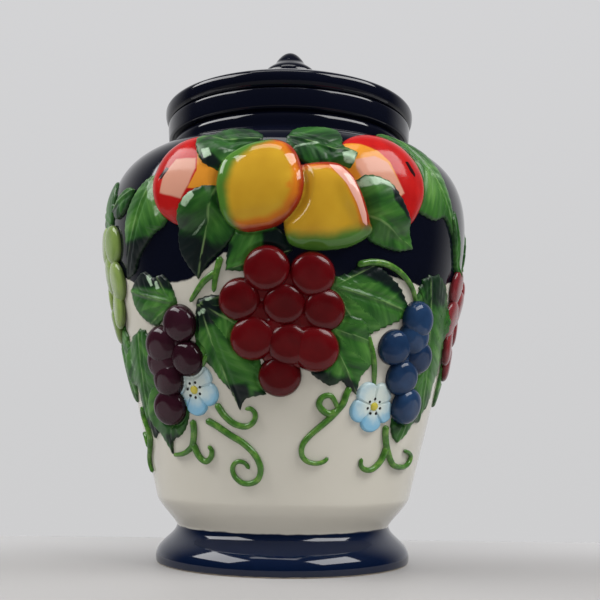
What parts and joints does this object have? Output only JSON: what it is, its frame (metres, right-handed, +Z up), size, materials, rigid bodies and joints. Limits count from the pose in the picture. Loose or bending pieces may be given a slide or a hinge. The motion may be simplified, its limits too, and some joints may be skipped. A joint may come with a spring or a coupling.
{
  "type": "covered cookie jar",
  "caption": "Footed round cookie jar with a bulging shoulder, a collared mouth, a lift-off domed lid with a knob, and raised fruit, grapes, leaves and tendrils on its wall.",
  "frame": {"origin": "centre of the foot's underside", "axes": "+Z up the jar's turning axis, towards the knob; -Y towards the front, where the red grapes are"},
  "size_m": [0.1976, 0.2065, 0.28],
  "materials": {
    "cream_glaze": "gloss",
    "navy_glaze": "gloss",
    "apple_glaze": "gloss",
    "peach_glaze": "gloss",
    "leaf_glaze": "gloss",
    "red_grape_glaze": "gloss",
    "purple_grape_glaze": "gloss",
    "blue_grape_glaze": "gloss",
    "green_grape_glaze": "gloss",
    "flower_glaze": "gloss",
    "vine_glaze": "gloss"
  },
  "bodies": {
    "jar": {"jar_body": "cream_glaze", "apple_left": "apple_glaze", "apple_right": "apple_glaze", "apple_back": "apple_glaze", "peach_left": "peach_glaze", "peach_right": "peach_glaze", "peach_back": "peach_glaze", "grapes_red": "red_grape_glaze", "grapes_side_red": "red_grape_glaze", "grapes_purple": "purple_grape_glaze", "grapes_back": "purple_grape_glaze", "grapes_blue": "blue_grape_glaze", "grapes_green": "green_grape_glaze", "flower_left": "flower_glaze", "flower_right": "flower_glaze", "leaf_far_left": "leaf_glaze", "leaf_edge_left": "leaf_glaze", "leaf_far_right": "leaf_glaze", "leaf_edge_right": "leaf_glaze", "leaf_over_purple": "leaf_glaze", "leaf_beside_purple": "leaf_glaze", "leaf_under_purple": "leaf_glaze", "leaf_beside_blue": "leaf_glaze", "leaf_under_blue": "leaf_glaze", "leaf_left_of_red": "leaf_glaze", "leaf_right_of_red": "leaf_glaze", "leaf_below_red": "leaf_glaze", "leaf_over_red": "leaf_glaze", "leaf_top_left": "leaf_glaze", "leaf_top_right": "leaf_glaze", "leaf_mid_left": "leaf_glaze", "leaf_mid_right": "leaf_glaze", "leaf_green_top": "leaf_glaze", "leaf_green_low": "leaf_glaze", "leaf_side_top": "leaf_glaze", "leaf_side_low": "leaf_glaze", "leaf_back_left": "leaf_glaze", "leaf_back_right": "leaf_glaze", "leaf_back_low_left": "leaf_glaze", "leaf_back_low_right": "leaf_glaze", "tendril_hook": "vine_glaze", "tendril_scroll": "vine_glaze", "tendril_fork_left": "vine_glaze", "tendril_loop": "vine_glaze", "tendril_fork_right": "vine_glaze", "tendril_edge_left": "vine_glaze", "tendril_back_left": "vine_glaze", "tendril_back_right": "vine_glaze", "stalk_grape_left": "vine_glaze", "stalk_blue": "vine_glaze", "stalk_flower_right": "vine_glaze"},
    "lid": {"lid": "navy_glaze", "lid_knob": "navy_glaze"}
  },
  "joints": [
    {"name": "lid_lift", "type": "slide", "parent": "jar", "child": "lid", "axis": [0, 0, 1], "range_m": [0, 0.1]}
  ]
}
